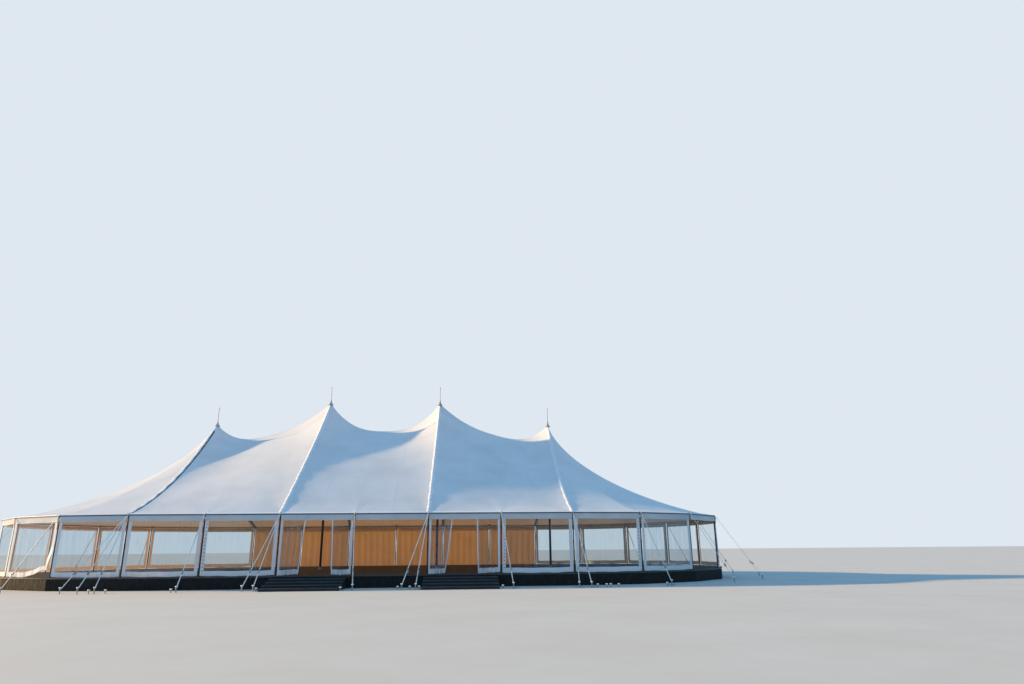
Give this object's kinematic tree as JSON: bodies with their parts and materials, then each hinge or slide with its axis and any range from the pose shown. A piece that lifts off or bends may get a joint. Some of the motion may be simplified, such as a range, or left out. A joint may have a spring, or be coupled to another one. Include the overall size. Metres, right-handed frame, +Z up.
{
  "type": "marquee tent",
  "caption": "Round-ended pole tent with a peaked canopy, clear wall panels, guyed side poles, a raised floor and entrance steps.",
  "frame": {"origin": "middle of the plan at ground level", "axes": "+X along the ridge towards the right end, +Y from the front with the steps to the back, +Z up"},
  "size_m": [39.5998, 21.6528, 10.33],
  "materials": {
    "canopy": "satin white coated fabric",
    "clear_panel": "clear vinyl with white fabric borders",
    "wall_fabric": "matt white coated fabric",
    "centre_pole": "dark stained and varnished",
    "side_pole": "satin dark paint",
    "webbing": "woven white webbing",
    "floor": "matt sealed panels",
    "frame": "galvanised grey",
    "skirt": "matt black cloth",
    "steps": "matt dark grey",
    "crown": "satin dark grey"
  },
  "bodies": {
    "root": {"centre_pole_1": "centre_pole", "centre_pole_2": "centre_pole", "centre_pole_3": "centre_pole", "centre_pole_4": "centre_pole", "crown_cap_1": "crown", "crown_cap_2": "crown", "crown_cap_3": "crown", "crown_cap_4": "crown", "floor_deck": "floor", "floor_frame": "frame", "guys_back": "webbing", "guys_front": "webbing", "guys_left": "webbing", "guys_right": "webbing", "left_entrance_left_flap": "clear_panel", "left_entrance_right_flap": "clear_panel", "right_entrance_left_flap": "clear_panel", "right_entrance_right_flap": "clear_panel", "roof_left_bay": "canopy", "roof_left_end": "canopy", "roof_middle_bay": "canopy", "roof_right_bay": "canopy", "roof_right_end": "canopy", "side_poles_back": "side_pole", "side_poles_front": "side_pole", "side_poles_left": "side_pole", "side_poles_right": "side_pole", "skirt_back": "skirt", "skirt_front": "skirt", "skirt_left": "skirt", "skirt_right": "skirt", "steps_left": "steps", "steps_right": "steps", "valance_back": "canopy", "valance_front": "canopy", "valance_left": "canopy", "valance_right": "canopy", "wall_back": "wall_fabric", "wall_front_left": "clear_panel", "wall_front_right": "clear_panel", "wall_left_back": "clear_panel", "wall_left_front": "clear_panel", "wall_left_middle": "clear_panel", "wall_right_back": "clear_panel", "wall_right_front": "clear_panel", "wall_right_middle": "clear_panel"}
  },
  "joints": []
}
